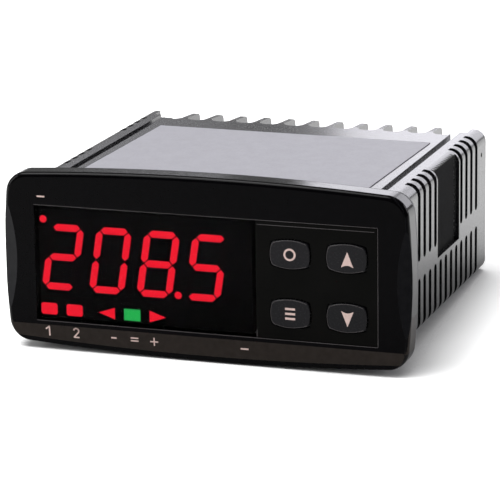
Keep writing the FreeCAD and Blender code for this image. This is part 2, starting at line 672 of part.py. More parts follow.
def icon_shapes():
    """Status lights below the figures: two bars, an arrow to each side, a square between
    the arrows, and the pilot light above the first figure."""
    half_w, half_h = size("icon_width") / 2, size("icon_height") / 2
    middle = number("window_bottom + icon_rise")
    box = [(-half_w, -half_h), (half_w, -half_h), (half_w, half_h), (-half_w, half_h)]
    near_w, near_h = half_w - size("icon_corner"), half_h - size("icon_corner")
    bar = [(-near_w, -half_h), (near_w, -half_h), (half_w, -near_h), (half_w, near_h),
           (near_w, half_h), (-near_w, half_h), (-half_w, near_h), (-half_w, -near_h)]
    leftward = [(-half_w, 0), (half_w, -half_h), (half_w, half_h)]
    rightward = [(half_w, 0), (-half_w, half_h), (-half_w, -half_h)]
    places = ["0", "icon_pitch", "icon_pitch + icon_gap", "2 * icon_pitch + icon_gap",
              "3 * icon_pitch + icon_gap"]
    spots = [number(f"window_left + icon_inset + {place}") for place in places]
    outlines = [bar, bar, leftward, box, rightward]
    shapes = [prism([(spot + x, middle + z) for x, z in outline])
              for spot, outline in zip(spots, outlines)]
    pilot = disc(number("window_left + pilot_inset"), number("window_top - pilot_drop"))
    green = shapes.pop(3)
    return shapes + [pilot], [green]


def make_display():
    """Display module: a block with light bars let into its face, flush with it."""
    lit, dark = figure_bars()
    red, green = icon_shapes()
    groups = (("DigitBarsLit", "digit_bars_lit", lit), ("DigitBarsDark", "digit_bars_dark", dark),
              ("StatusLightsRed", "status_lights_red", red),
              ("StatusLightGreen", "status_light_green", green))
    features = []
    for name, label, shapes in groups:
        feature = doc.addObject("Part::Feature", name)
        feature.Shape = Part.makeCompound(shapes)
        feature.Placement = FreeCAD.Placement()
        features.append(keep(feature, label))
    base = block("DisplayBlock",
                 "window_left + ledge_width + display_side_gap", "window_split - display_inset",
                 "display_face", "front_board_face",
                 "window_bottom + ledge_width + display_side_gap",
                 "window_top - ledge_width - display_side_gap")
    tools = doc.addObject("Part::Compound", "LightCavities")
    tools.Links = features
    keep(cut("DisplayModule", base, tools), "display_module")


# ----------------------------------------------------------------------- housing


def slot_rows():
    """The three slot rows of a side: name, first slot, count, and the sketch points where
    the half-round end starts and the open end runs out."""
    upper = ("slot_width / 2 - slot_upper_end", "half_height + cut_margin")
    lower = ("0 - slot_lower_end - slot_width / 2", "0 - half_height - cut_margin")
    rear = "slot_first + (slot_count - slot_group) * slot_pitch"
    return (("UpperFront", "slot_first", "slot_group", "+", upper),
            ("UpperRear", rear, "slot_group", "+", upper),
            ("Lower", "slot_first", "slot_count", "-", lower))


def make_side_cutters():
    """What is cut out of the two side walls: ventilation slots, between the upper rows a
    recess with ratchet teeth that the mounting brackets lock into, and a small mark."""
    body = doc.addObject("PartDesign::Body", "SideCutters")
    body.AllowCompound = True
    for side, sign, reverse in (("Right", "+", False), ("Left", "-", True)):
        inside = f"0 {sign} (inner_half_width - slot_reach)"
        crest = f"0 {sign} (half_width - ratchet_depth)"
        for name, start, count, turn, (bend, end) in slot_rows():
            sketch = new_sketch(body, f"Slot{name}{side}Outline", "YZ_Plane", inside)
            back = "-" if turn == "+" else "+"
            draw_slot(sketch, f"({start}) {back} slot_width / 2",
                      f"({start}) {turn} slot_width / 2", bend, end)
            slot = add_feature(body, "Pad", f"Slot{name}{side}", sketch,
                               "side_wall + slot_reach + cut_margin", reverse=reverse)
            add_row(body, [slot], "Y_Axis", count, "slot_pitch")
        recess = new_sketch(body, f"Ratchet{side}Outline", "YZ_Plane", crest)
        draw_rectangle(recess, "recess_start", "recess_end", "0 - ratchet_foot",
                       "half_height + cut_margin")
        add_feature(body, "Pad", f"Ratchet{side}", recess, "ratchet_depth + cut_margin",
                    reverse=reverse)
        root = f"0 {sign} (half_width - ratchet_depth - ratchet_tooth)"
        tooth = new_sketch(body, f"Tooth{side}Outline", "XY_Plane", "0 - ratchet_foot")
        draw_polygon(tooth, ((crest, "recess_start"), (root, "recess_start"),
                             (crest, "recess_start + ratchet_pitch")))
        notch = add_feature(body, "Pad", f"Tooth{side}", tooth,
                            "half_height + cut_margin + ratchet_foot")
        teeth = "floor((recess_end - recess_start) / ratchet_pitch)"
        add_row(body, [notch], "Y_Axis", teeth, "ratchet_pitch")
        mark = new_sketch(body, f"Dimple{side}Outline", "YZ_Plane",
                          f"0 {sign} (half_width - dimple_depth)")
        draw_circle(mark, "body_depth - dimple_rear", "half_height - dimple_top",
                    "dimple_radius")
        add_feature(body, "Pad", f"Dimple{side}", mark, "dimple_depth + cut_margin",
                    reverse=reverse)
    return body


def make_housing():
    """Moulded tub, open at the front. Its top runs back into the partitions between the
    terminal wells; bracket grooves run along its top and bottom."""
    body = new_body("housing")
    outline = new_sketch(body, "TubOutline", "XZ_Plane", "body_depth")
    draw_rectangle(outline, "0 - half_width", "half_width", "0 - half_height", "half_height")
    add_feature(body, "Pad", "Tub", outline, "body_depth - ledge_back")
    add_fillet(body, "TubCorners", runs_along_y, "body_corner")
    cavity = new_sketch(body, "CavityOutline", "XZ_Plane", "ledge_back")
    draw_rectangle(cavity, "0 - inner_half_width", "inner_half_width",
                   "0 - inner_half_height", "inner_half_height")
    add_feature(body, "Pocket", "Cavity", cavity, "inner_back - ledge_back")

    comb = new_sketch(body, "CombOutline", "XY_Plane", "comb_floor")
    last = "(comb_half - fin_thickness / 2)"
    draw_polygon(comb, (("0 - comb_half", "comb_start"), ("comb_half", "comb_start"),
                        ("comb_half", "body_depth"), (last, "body_depth"), (last, "comb_back"),
                        (f"0 - {last}", "comb_back"), (f"0 - {last}", "body_depth"),
                        ("0 - comb_half", "body_depth")))
    add_feature(body, "Pad", "Comb", comb, "half_height - comb_floor")
    slope = new_sketch(body, "CombSlopeProfile", "YZ_Plane", "0")
    draw_polygon(slope, (("well_middle", "half_height"), ("comb_back", "half_height - fin_fall"),
                         ("comb_back", "half_height + fin_tip"),
                         ("well_middle", "half_height + fin_tip")))
    add_feature(body, "Pocket", "CombSlope", slope, "2 * comb_half", midplane=True)
    edge_y, edge_z = number("comb_back"), number("half_height - fin_fall")
    add_fillet(body, "CombTip", lambda e: e.BoundBox.YMin > edge_y - 1e-4
               and e.BoundBox.ZMin > edge_z - 1e-4, "fin_tip")
    well = new_sketch(body, "WellOutline", "XY_Plane", "half_height")
    draw_slot(well, "first_pole - well_radius", "first_pole + well_radius",
              "well_middle", "comb_back + fin_tip")
    pocket = add_feature(body, "Pocket", "Well", well, "half_height - comb_floor")
    add_row(body, [pocket], "X_Axis", "pole_count", "pole_pitch")

    for name, side, low, high in (
            ("TopRight", "+", "half_height - rail_groove_depth", "half_height"),
            ("TopLeft", "-", "half_height - rail_groove_depth", "half_height"),
            ("BottomRight", "+", "0 - half_height", "rail_groove_depth - half_height"),
            ("BottomLeft", "-", "0 - half_height", "rail_groove_depth - half_height")):
        groove = new_sketch(body, f"Groove{name}Outline", "XZ_Plane", "0")
        near = f"0 {side} rail_groove_start"
        far = f"0 {side} (rail_groove_start + rail_groove_width)"
        draw_rectangle(groove, near, far, low, high)
        add_feature(body, "Pocket", f"Groove{name}", groove, "body_depth")
        lead = new_sketch(body, f"Lead{name}Outline", "XZ_Plane", "body_depth")
        draw_rectangle(lead, far, f"{far} {side} rail_lead_width", low, high)
        add_feature(body, "Pocket", f"Lead{name}", lead, "rail_lead_length", reverse=True)

    entry = new_sketch(body, "EntryOutline", "XZ_Plane", "body_depth")
    draw_rectangle(entry, "first_pole - entry_width / 2", "first_pole + entry_width / 2",
                   "entry_top - entry_height", "entry_top")
    window = add_feature(body, "Pocket", "Entry", entry, "rear_wall", reverse=True)
    add_row(body, [window], "X_Axis", "pole_count", "pole_pitch")
    add_guides(body)
    cutters = make_side_cutters()
    sides = body.newObject("PartDesign::Boolean", "SideCuts")
    sides.Type = "Cut"
    sides.setObjects([cutters])
    doc.recompute()


def add_guides(body):
    """Ribs on the inner side walls that hold the main board, and stop the front board."""
    levels = (("Under", "board_bottom - rib_clearance - rib_height", "board_bottom - rib_clearance",
               "inner_back"),
              ("Over", "board_top + rib_clearance", "board_top + rib_clearance + rib_height",
               "block_front - block_clearance"),
              ("Stop", "inner_half_height - 2 * rib_height", "inner_half_height - rib_height",
               "front_board_back + rib_height"))
    for name, low, high, end in levels:
        for side in "+-":
            outer = f"0 {side} (inner_half_width + rib_clearance)"
            inner = f"0 {side} (inner_half_width - rib_depth)"
            left, right = (inner, outer) if side == "+" else (outer, inner)
            title = name + ("Right" if side == "+" else "Left")
            rib = new_sketch(body, f"Rib{title}Outline", "XZ_Plane", end)
            draw_rectangle(rib, left, right, low, high)
            add_feature(body, "Pad", f"Rib{title}", rib, f"({end}) - front_board_back")


# -------------------------------------------------------------- boards and parts


def make_front_board():
    body = new_body("front_board")
    outline = new_sketch(body, "FrontBoardOutline", "XZ_Plane", "front_board_back")
    draw_rectangle(outline, "board_clearance - inner_half_width",
                   "inner_half_width - board_clearance",
                   "board_clearance - inner_half_height", "inner_half_height - board_clearance")
    add_feature(body, "Pad", "FrontBoard", outline, "board_thickness")
    hole = new_sketch(body, "HeaderHoleOutline", "XZ_Plane", "front_board_face")
    draw_circle(hole, "0 - (header_poles - 1) * header_pitch / 2",
                "board_top + header_side / 2", "header_hole_radius")
    drilled = add_feature(body, "Pocket", "HeaderHole", hole, "board_thickness")
    add_row(body, [drilled], "X_Axis", "header_poles", "header_pitch")


def make_header():
    """Pin header that joins the two boards."""
    half = "header_poles * header_pitch / 2"
    keep(block("HeaderStrip", f"0 - {half}", half, "front_board_back",
               "front_board_back + header_side", "board_top", "board_top + header_side"),
         "header_strip")
    body = new_body("header_pins")
    pin = new_sketch(body, "HeaderPinOutline", "XZ_Plane", "front_board_back")
    first = "(0 - (header_poles - 1) * header_pitch / 2)"
    middle = "(board_top + header_side / 2)"
    draw_rectangle(pin, f"{first} - header_pin_side / 2", f"{first} + header_pin_side / 2",
                   f"{middle} - header_pin_side / 2", f"{middle} + header_pin_side / 2")
    one = add_feature(body, "Pad", "HeaderPin", pin, "board_thickness")
    add_row(body, [one], "X_Axis", "header_poles", "header_pitch")


def make_main_board():
    body = new_body("main_board")
    outline = new_sketch(body, "MainBoardOutline", "XY_Plane", "board_bottom")
    draw_rectangle(outline, "board_clearance - inner_half_width",
                   "inner_half_width - board_clearance",
                   "front_board_back", "inner_back - board_end_gap")
    add_feature(body, "Pad", "MainBoard", outline, "board_thickness")
    hole = new_sketch(body, "PinHoleOutline", "XY_Plane", "board_top")
    draw_circle(hole, "first_pole", "clamp_middle", "pin_hole_radius")
    drilled = add_feature(body, "Pocket", "PinHole", hole, "board_thickness")
    add_row(body, [drilled], "X_Axis", "pole_count", "pole_pitch")


def make_chips():
    half = "chip_side / 2"
    keep(block("ControllerChip", f"0 - {half}", half, "front_board_back",
               "front_board_back + chip_height", "0", "chip_side"), "controller_chip")
    keep(block("BridgeRectifier", "relay_start", "relay_start + rectifier_width",
               "front_board_back + rectifier_gap",
               "front_board_back + rectifier_gap + rectifier_length",
               "board_top", "board_top + rectifier_height"), "bridge_rectifier")
    keep(block("FilmCapacitor", "core_middle - film_width / 2", "core_middle + film_width / 2",
               "front_board_back + film_gap", "front_board_back + film_gap + film_length",
               "board_top", "board_top + film_height"), "film_capacitor")


def make_relays():
    body = new_body("output_relays")
    outline = new_sketch(body, "RelayOutline", "XY_Plane", "board_top")
    draw_rectangle(outline, "relay_start", "relay_start + relay_width",
                   "relay_behind", "relay_behind + relay_length")
    one = add_feature(body, "Pad", "Relay", outline, "relay_height")
    add_row(body, [one], "X_Axis", "2", "relay_pitch")


def make_capacitors():
    body = new_body("smoothing_capacitors")
    outline = new_sketch(body, "CanOutline", "XY_Plane", "board_top")
    draw_circle(outline, "0", "can_behind", "can_radius")
    one = add_feature(body, "Pad", "Can", outline, "can_height")
    add_row(body, [one], "Y_Axis", "2", "can_pitch")


def make_transformer():
    """Mains transformer: a foot, a core with two windows, and the winding round its middle
    leg."""
    left, right = "core_middle - core_width / 2", "core_middle + core_width / 2"
    front, back = "core_behind - core_length / 2", "core_behind + core_length / 2"
    top = "core_foot + core_height"
    over = "winding_overhang"
    keep(block("TransformerFoot", left, right, f"{front} - {over}", f"{back} + {over}",
               "board_top", "core_foot"), "transformer_foot")

    body = new_body("transformer_core")
    outline = new_sketch(body, "CoreOutline", "XZ_Plane", back)
    draw_rectangle(outline, left, right, "core_foot", top)
    add_feature(body, "Pad", "Core", outline, "core_length")
    for name, a, b in (("Left", f"{left} + core_leg", "core_middle - core_leg"),
                       ("Right", "core_middle + core_leg", f"{right} - core_leg")):
        window = new_sketch(body, f"CoreWindow{name}Outline", "XZ_Plane", front)
        draw_rectangle(window, a, b, "core_foot + core_leg", f"{top} - core_leg")
        add_feature(body, "Pocket", f"CoreWindow{name}", window, "core_length")

    body = new_body("transformer_winding")
    gap = "winding_clearance"
    outline = new_sketch(body, "WindingOutline", "XY_Plane", f"core_foot + core_leg + {gap}")
    draw_rectangle(outline, f"{left} + core_leg + {gap}", f"{right} - core_leg - {gap}",
                   f"{front} - {over}", f"{back} + {over}")
    add_feature(body, "Pad", "Winding", outline, f"core_height - 2 * core_leg - 2 * {gap}")
    leg = new_sketch(body, "WindingBoreOutline", "XY_Plane", f"{top} - core_leg - {gap}")
    draw_rectangle(leg, f"core_middle - core_leg - {gap}", f"core_middle + core_leg + {gap}",
                   f"{front} - {gap}", f"{back} + {gap}")
    add_feature(body, "Pocket", "WindingBore", leg, f"core_height - 2 * core_leg - 2 * {gap}")


# --------------------------------------------------------------------- terminals


def make_terminal_block():
    """Block that carries the wire clamps, with a chamber and a screw bore for each pole."""
    body = new_body("terminal_block")
    outline = new_sketch(body, "BlockOutline", "XY_Plane", "board_top")
    draw_rectangle(outline, "block_clearance - comb_half", "comb_half - block_clearance",
                   "block_front", "block_back")
    add_feature(body, "Pad", "Block", outline, "block_top - board_top")
    chamber = new_sketch(body, "ChamberOutline", "XZ_Plane", "block_back")
    half = "(clamp_width / 2 + clamp_clearance)"
    draw_rectangle(chamber, f"first_pole - {half}", f"first_pole + {half}",
                   "clamp_foot", "entry_top")
    room = add_feature(body, "Pocket", "Chamber", chamber,
                       "clamp_margin + clamp_length + clamp_clearance", reverse=True)
    add_row(body, [room], "X_Axis", "pole_count", "pole_pitch")
    bore = new_sketch(body, "ScrewBoreOutline", "XY_Plane", "block_top")
    draw_circle(bore, "first_pole", "clamp_middle", "screw_head_radius + screw_clearance")
    drilled = add_feature(body, "Pocket", "ScrewBore", bore, "block_top - entry_top")
    add_row(body, [drilled], "X_Axis", "pole_count", "pole_pitch")
    outlet = new_sketch(body, "PinOutletOutline", "XY_Plane", "clamp_foot")
    draw_circle(outlet, "first_pole", "clamp_middle", "pin_hole_radius")
    drilled = add_feature(body, "Pocket", "PinOutlet", outlet, "clamp_foot - board_top")
    add_row(body, [drilled], "X_Axis", "pole_count", "pole_pitch")


def make_clamps():
    """Box clamps that grip the wires, one for each pole."""
    body = new_body("wire_clamps")
    half = "clamp_width / 2"
    outline = new_sketch(body, "ClampOutline", "XZ_Plane", "clamp_back")
    draw_rectangle(outline, f"first_pole - {half}", f"first_pole + {half}",
                   "clamp_foot", "clamp_top")
    clamp = add_feature(body, "Pad", "Clamp", outline, "clamp_length")
    mouth = new_sketch(body, "MouthOutline", "XZ_Plane", "clamp_back")
    draw_rectangle(mouth, f"first_pole - {half} + clamp_sheet",
                   f"first_pole + {half} - clamp_sheet",
                   "clamp_foot + clamp_sheet", "clamp_top - clamp_sheet")
    opened = add_feature(body, "Pocket", "Mouth", mouth, "clamp_length", reverse=True)
    hole = new_sketch(body, "ClampHoleOutline", "XY_Plane", "clamp_top")
    draw_circle(hole, "first_pole", "clamp_middle", "screw_radius + screw_clearance")
    drilled = add_feature(body, "Pocket", "ClampHole", hole, "clamp_sheet")
    add_row(body, [clamp, opened, drilled], "X_Axis", "pole_count", "pole_pitch")


def make_screws():
    """Slotted screws that stand in the wells, one for each pole."""
    body = new_body("terminal_screws")
    shank = new_sketch(body, "ShankOutline", "XY_Plane", "clamp_top - screw_length")
    draw_circle(shank, "first_pole", "clamp_middle", "screw_radius")
    stem = add_feature(body, "Pad", "Shank", shank, "screw_length")
    head = new_sketch(body, "HeadOutline", "XY_Plane", "clamp_top")
    draw_circle(head, "first_pole", "clamp_middle", "screw_head_radius")
    cap = add_feature(body, "Pad", "Head", head, "screw_head_height")
    slot = new_sketch(body, "DriverSlotOutline", "XY_Plane", "clamp_top + screw_head_height")
    draw_rectangle(slot, "first_pole - screw_head_radius", "first_pole + screw_head_radius",
                   "clamp_middle - screw_slot / 2", "clamp_middle + screw_slot / 2")
    kerf = add_feature(body, "Pocket", "DriverSlot", slot, "screw_slot")
    add_row(body, [stem, cap, kerf], "X_Axis", "pole_count", "pole_pitch")


def make_solder_pins():
    body = new_body("terminal_pins")
    pin = new_sketch(body, "SolderPinOutline", "XY_Plane", "board_bottom - pin_tail")
    half = "pin_side / 2"
    draw_rectangle(pin, f"first_pole - {half}", f"first_pole + {half}",
                   f"clamp_middle - {half}", f"clamp_middle + {half}")
    one = add_feature(body, "Pad", "SolderPin", pin, "clamp_foot - board_bottom + pin_tail")
    add_row(body, [one], "X_Axis", "pole_count", "pole_pitch")


def make_label():
    """Plain label on the top, set slightly askew about its middle."""
    label = doc.addObject("Part::Box", "TopLabel")
    label.setExpression("Length", linked("label_width"))
    label.setExpression("Width", linked("label_length"))
    label.setExpression("Height", linked("label_thickness"))
    skew = size("label_skew")
    turn = FreeCAD.Rotation(Vector(0, 0, 1), -skew)
    label.Placement = FreeCAD.Placement(Vector(), turn)
    lengthwise = "(label_length / 2 * {0}(label_skew))"
    across = "(label_width / 2 * {0}(label_skew))"
    label.setExpression("Placement.Base.x", linked(
        "0 - " + across.format("cos") + " - " + lengthwise.format("sin")))
    label.setExpression("Placement.Base.y", linked(
        "label_behind + " + across.format("sin") + " - " + lengthwise.format("cos")))
    label.setExpression("Placement.Base.z", linked("half_height"))
    keep(label, "top_label")


make_housing()
make_bezel()
make_gasket()
make_window()
make_keypad_plate()
for key_name, key_across, key_up in KEYS:
    make_key(key_name, key_across, key_up)
    make_switch(key_name, key_across, key_up)
make_display()
make_front_board()
make_header()
make_main_board()
make_chips()
make_relays()
make_capacitors()
make_transformer()
make_terminal_block()
make_clamps()
make_screws()
make_solder_pins()
make_label()
doc.recompute()

for item in doc.Objects:
    if "Invalid" in item.State or "Error" in item.State:
        raise RuntimeError(f"{item.Label} did not build")
for piece in PIECES:
    if piece.Shape.isNull() or not piece.Shape.isValid():
        raise RuntimeError(f"{piece.Label} has no sound shape")

os.makedirs("parts", exist_ok=True)
for piece in PIECES:
    piece.Shape.exportStep(f"parts/{piece.Label}.step")
    print(piece.Label, len(piece.Shape.Solids), round(piece.Shape.Volume, 2))
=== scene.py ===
import math

import bmesh
import bpy
from mathutils import Matrix, Vector


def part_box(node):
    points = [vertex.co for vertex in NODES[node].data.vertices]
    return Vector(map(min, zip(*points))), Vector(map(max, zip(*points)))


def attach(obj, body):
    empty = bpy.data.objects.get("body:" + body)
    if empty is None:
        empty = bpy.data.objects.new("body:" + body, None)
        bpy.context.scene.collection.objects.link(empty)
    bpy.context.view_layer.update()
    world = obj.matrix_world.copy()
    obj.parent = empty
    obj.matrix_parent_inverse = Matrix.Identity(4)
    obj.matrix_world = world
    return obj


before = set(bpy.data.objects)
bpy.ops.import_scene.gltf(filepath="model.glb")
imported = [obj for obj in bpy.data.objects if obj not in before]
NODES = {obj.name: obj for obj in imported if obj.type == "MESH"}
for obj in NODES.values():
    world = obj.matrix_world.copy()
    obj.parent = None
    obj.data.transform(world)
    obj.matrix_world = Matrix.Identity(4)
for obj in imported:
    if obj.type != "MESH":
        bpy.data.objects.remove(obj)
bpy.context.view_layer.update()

# Looks of the panel-mounted temperature controller, in metres, in the CAD's frame: X to the
# right seen from the front, Y into the panel, Z up. The front frame faces -Y.

MM = 0.001
LED_RED = (0.86, 0.011, 0.027, 1)
LED_GREEN = (0.018, 0.40, 0.075, 1)
INK = (0.62, 0.46, 0.42)
PRINT_HEIGHT = 0.015 * MM
NOISE_LOW, NOISE_HIGH = 0.3, 0.7
COAT_ROUGHNESS = 0.14


# ------------------------------------------------------------------ materials


def new_material(name):
    """A node material, its tree and its shader."""
    material = bpy.data.materials.new(name)
    material.use_nodes = True
    tree = material.node_tree
    shader = tree.nodes["Principled BSDF"]
    return material, tree, shader


def noise(tree, scale, detail=3.0, stretch=(1, 1, 1)):
    """Noise over the object's own coordinates, in metres."""
    coords = tree.nodes.new("ShaderNodeTexCoord")
    mapping = tree.nodes.new("ShaderNodeMapping")
    mapping.inputs["Scale"].default_value = stretch
    texture = tree.nodes.new("ShaderNodeTexNoise")
    texture.inputs["Scale"].default_value = scale
    texture.inputs["Detail"].default_value = detail
    tree.links.new(coords.outputs["Object"], mapping.inputs["Vector"])
    tree.links.new(mapping.outputs["Vector"], texture.inputs["Vector"])
    return texture.outputs["Fac"]


def spread(tree, factor, low, high):
    """The noise as a value between two limits."""
    span = tree.nodes.new("ShaderNodeMapRange")
    span.inputs["From Min"].default_value = NOISE_LOW
    span.inputs["From Max"].default_value = NOISE_HIGH
    span.inputs["To Min"].default_value = low
    span.inputs["To Max"].default_value = high
    tree.links.new(factor, span.inputs["Value"])
    return span.outputs["Result"]


def shades(tree, factor, dark, light):
    """The noise as a colour between two shades."""
    ramp = tree.nodes.new("ShaderNodeValToRGB")
    ramp.color_ramp.elements[0].position = NOISE_LOW
    ramp.color_ramp.elements[0].color = (*dark, 1)
    ramp.color_ramp.elements[1].position = NOISE_HIGH
    ramp.color_ramp.elements[1].color = (*light, 1)
    tree.links.new(factor, ramp.inputs["Fac"])
    return ramp.outputs["Color"]


def add_bump(tree, shader, factor, strength, distance):
    """Relief from the noise, as deep as the distance."""
    bump = tree.nodes.new("ShaderNodeBump")
    bump.inputs["Strength"].default_value = strength
    bump.inputs["Distance"].default_value = distance
    tree.links.new(factor, bump.inputs["Height"])
    tree.links.new(bump.outputs["Normal"], shader.inputs["Normal"])


def finish(name, dark, light, rough, grain=900, patch=120, relief=0.1, depth=0.02 * MM,
           metallic=0.0, specular=0.5, tint=1.0, coat=0.0, stretch=(1, 1, 1)):
    """A moulded, painted or rolled surface: colour drifts over wide patches, roughness and
    relief follow a fine grain."""
    material, tree, shader = new_material(name)
    broad = noise(tree, patch, 2.0, stretch)
    fine = noise(tree, grain, 4.0, stretch)
    tree.links.new(shades(tree, broad, dark, light), shader.inputs["Base Color"])
    tree.links.new(spread(tree, fine, *rough), shader.inputs["Roughness"])
    add_bump(tree, shader, fine, relief, depth)
    shader.inputs["Metallic"].default_value = metallic
    shader.inputs["Specular IOR Level"].default_value = specular
    shader.inputs["Specular Tint"].default_value = (tint, tint, tint, 1)
    shader.inputs["Coat Weight"].default_value = coat
    shader.inputs["Coat Roughness"].default_value = COAT_ROUGHNESS
    return material


def math_node(tree, operation, *values):
    """A sum, product or comparison of sockets and numbers."""
    node = tree.nodes.new("ShaderNodeMath")
    node.operation = operation
    for socket, value in zip(node.inputs, values):
        if isinstance(value, (int, float)):
            socket.default_value = value
        else:
            tree.links.new(value, socket)
    return node.outputs[0]


def between(tree, value, low, high):
    """1 where the value lies between two limits."""
    return math_node(tree, "MULTIPLY", math_node(tree, "GREATER_THAN", value, low),
                     math_node(tree, "LESS_THAN", value, high))


# The frame's facets, told by the X or Z of the way they face, and the curve that parts the
# lower border from the rounded edge below it.
LOWER_FACES, LEFT_FACES, RIGHT_FACES = (-0.16, -0.05), (-0.38, -0.26), (0.26, 0.38)
EDGE_TOP = -16.15 * MM
EDGE_BOW = 1.2 * MM / (36 * MM) ** 2
# The lower border's paler shades are a painted reflection; the crescents' shades are their own
# finish.
BORDER_REFLECTION_SHADES = ((0.017, 0.0135, 0.0115), (0.023, 0.0185, 0.016))
CRESCENT_SHADES = ((0.004, 0.004, 0.005), (0.007, 0.007, 0.008))
FACET_ROUGHNESS = 0.32


def frame_plastic():
    """Polished black frame with satin facets: the lower border, whose paler colour is a painted
    reflection, and the two crescents, which share one finish. The facets are told by which way
    they face."""
    material, tree, shader = new_material("bezel_polished")
    geometry = tree.nodes.new("ShaderNodeNewGeometry")
    split = tree.nodes.new("ShaderNodeSeparateXYZ")
    tree.links.new(geometry.outputs["True Normal"], split.inputs["Vector"])
    coords = tree.nodes.new("ShaderNodeTexCoord")
    place = tree.nodes.new("ShaderNodeSeparateXYZ")
    tree.links.new(coords.outputs["Object"], place.inputs["Vector"])
    squared = math_node(tree, "MULTIPLY", place.outputs["X"], place.outputs["X"])
    bowed = math_node(tree, "MULTIPLY", squared, -EDGE_BOW)
    rise = math_node(tree, "ADD", place.outputs["Z"], bowed)
    clear = math_node(tree, "GREATER_THAN", rise, EDGE_TOP)
    lower = math_node(tree, "MULTIPLY", between(tree, split.outputs["Z"], *LOWER_FACES), clear)
    fine = noise(tree, 700, 3.0)
    color = shades(tree, fine, (0.0008, 0.0007, 0.0010), (0.0014, 0.0012, 0.0016))
    rough = spread(tree, fine, 0.10, 0.16)
    facets = (
        (lower, BORDER_REFLECTION_SHADES),
        (between(tree, split.outputs["X"], *LEFT_FACES), CRESCENT_SHADES),
        (between(tree, split.outputs["X"], *RIGHT_FACES), CRESCENT_SHADES),
    )
    for mask, (dark, light) in facets:
        mix = tree.nodes.new("ShaderNodeMix")
        mix.data_type = "RGBA"
        tree.links.new(mask, mix.inputs["Factor"])
        tree.links.new(color, mix.inputs["A"])
        tree.links.new(shades(tree, fine, dark, light), mix.inputs["B"])
        color = mix.outputs["Result"]
        satin = tree.nodes.new("ShaderNodeMix")
        tree.links.new(mask, satin.inputs["Factor"])
        tree.links.new(rough, satin.inputs["A"])
        satin.inputs["B"].default_value = FACET_ROUGHNESS
        rough = satin.outputs["Result"]
    tree.links.new(color, shader.inputs["Base Color"])
    tree.links.new(rough, shader.inputs["Roughness"])
    add_bump(tree, shader, fine, 0.02, 0.02 * MM)
    shader.inputs["Specular Tint"].default_value = (0.05, 0.05, 0.05, 1)
    return material


def glow(name, color, strength, unlit):
    """A moulded light bar lit from behind."""
    material, tree, shader = new_material(name)
    fine = noise(tree, 1500, 2.0)
    tree.links.new(shades(tree, fine, unlit, tuple(1.15 * c for c in unlit)),
                   shader.inputs["Base Color"])
    tree.links.new(spread(tree, fine, 0.35, 0.45), shader.inputs["Roughness"])
    shader.inputs["Specular IOR Level"].default_value = 0.0
    shader.inputs["Emission Color"].default_value = color
    shader.inputs["Emission Strength"].default_value = strength
    return material


def window_glass():
    """Clear hard-coated window with a light smoke tint."""
    material, tree, shader = new_material("window_clear")
    broad = noise(tree, 60, 1.0)
    tree.links.new(shades(tree, broad, (0.94, 0.93, 0.94), (0.96, 0.95, 0.96)),
                   shader.inputs["Base Color"])
    fine = noise(tree, 700, 3.0)
    tree.links.new(spread(tree, fine, 0.0, 0.02), shader.inputs["Roughness"])
    shader.inputs["Transmission Weight"].default_value = 1.0
    shader.inputs["IOR"].default_value = 1.05
    return material


def dress(node, material):
    """Gives a CAD node its material."""
    materials = NODES[node].data.materials
    materials.clear()
    materials.append(material)


KEY_NAMES = ("function", "program", "up", "down")

housing_plastic = finish("housing_satin", (0.006, 0.006, 0.007), (0.010, 0.010, 0.011),
                         (0.25, 0.28), grain=3200, relief=0.01, depth=0.005 * MM, specular=0.8,
                         tint=0.3, coat=0.35)
bezel_gloss = frame_plastic()
gasket_rubber = finish("gasket_rubber", (0.10, 0.10, 0.11), (0.14, 0.14, 0.15), (0.6, 0.75),
                       grain=2600, relief=0.3)
keypad_film = finish("keypad_film", (0.0016, 0.0016, 0.0014), (0.0028, 0.0027, 0.0024),
                     (0.14, 0.20), grain=1400, relief=0.02, tint=0.04)
key_plastic = finish("key_plastic", (0.004, 0.004, 0.005), (0.007, 0.0065, 0.008),
                     (0.22, 0.30), grain=2400, relief=0.05, tint=0.22)
soft_black = finish("soft_black", (0.010, 0.010, 0.011), (0.018, 0.018, 0.020), (0.5, 0.65),
                    grain=1500, relief=0.2)
display_black = finish("display_black", (0.0012, 0.0012, 0.0014), (0.002, 0.002, 0.0022),
                       (0.55, 0.7), grain=1500, relief=0.1, specular=0.0)
digit_dark = finish("digit_dark", (0.0018, 0.0010, 0.0012), (0.0026, 0.0014, 0.0016),
                    (0.4, 0.5), grain=1500, relief=0.05, specular=0.0)
board_green = finish("board_green", (0.010, 0.085, 0.030), (0.018, 0.12, 0.042), (0.3, 0.42),
                     grain=1800, relief=0.2)
film_yellow = finish("film_yellow", (0.42, 0.26, 0.02), (0.52, 0.34, 0.04), (0.3, 0.4),
                     grain=1200)
relay_blue = finish("relay_blue", (0.012, 0.05, 0.20), (0.018, 0.07, 0.26), (0.3, 0.42),
                    grain=1400)
can_metal = finish("can_metal", (0.05, 0.05, 0.07), (0.07, 0.07, 0.09), (0.28, 0.4),
                   grain=1200, metallic=0.3)
ferrite = finish("ferrite", (0.025, 0.025, 0.026), (0.045, 0.045, 0.047), (0.6, 0.8),
                 grain=2400, relief=0.5)
winding_tape = finish("winding_tape", (0.50, 0.33, 0.03), (0.60, 0.42, 0.06), (0.25, 0.4),
                      grain=900, stretch=(1, 1, 8))
tinned = finish("tinned_metal", (0.52, 0.52, 0.50), (0.66, 0.66, 0.64), (0.25, 0.4),
                grain=2000, metallic=1.0)
screw_steel = finish("screw_steel", (0.42, 0.42, 0.43), (0.58, 0.58, 0.59), (0.22, 0.36),
                     grain=2600, metallic=1.0)
terminal_grey = finish("terminal_grey", (0.020, 0.020, 0.023), (0.032, 0.032, 0.036),
                       (0.45, 0.6), grain=1600, relief=0.2)
label_film = finish("label_film", (0.325, 0.32, 0.352), (0.345, 0.34, 0.374), (0.45, 0.6),
                    grain=2200, patch=400, relief=0.03, specular=0.15)
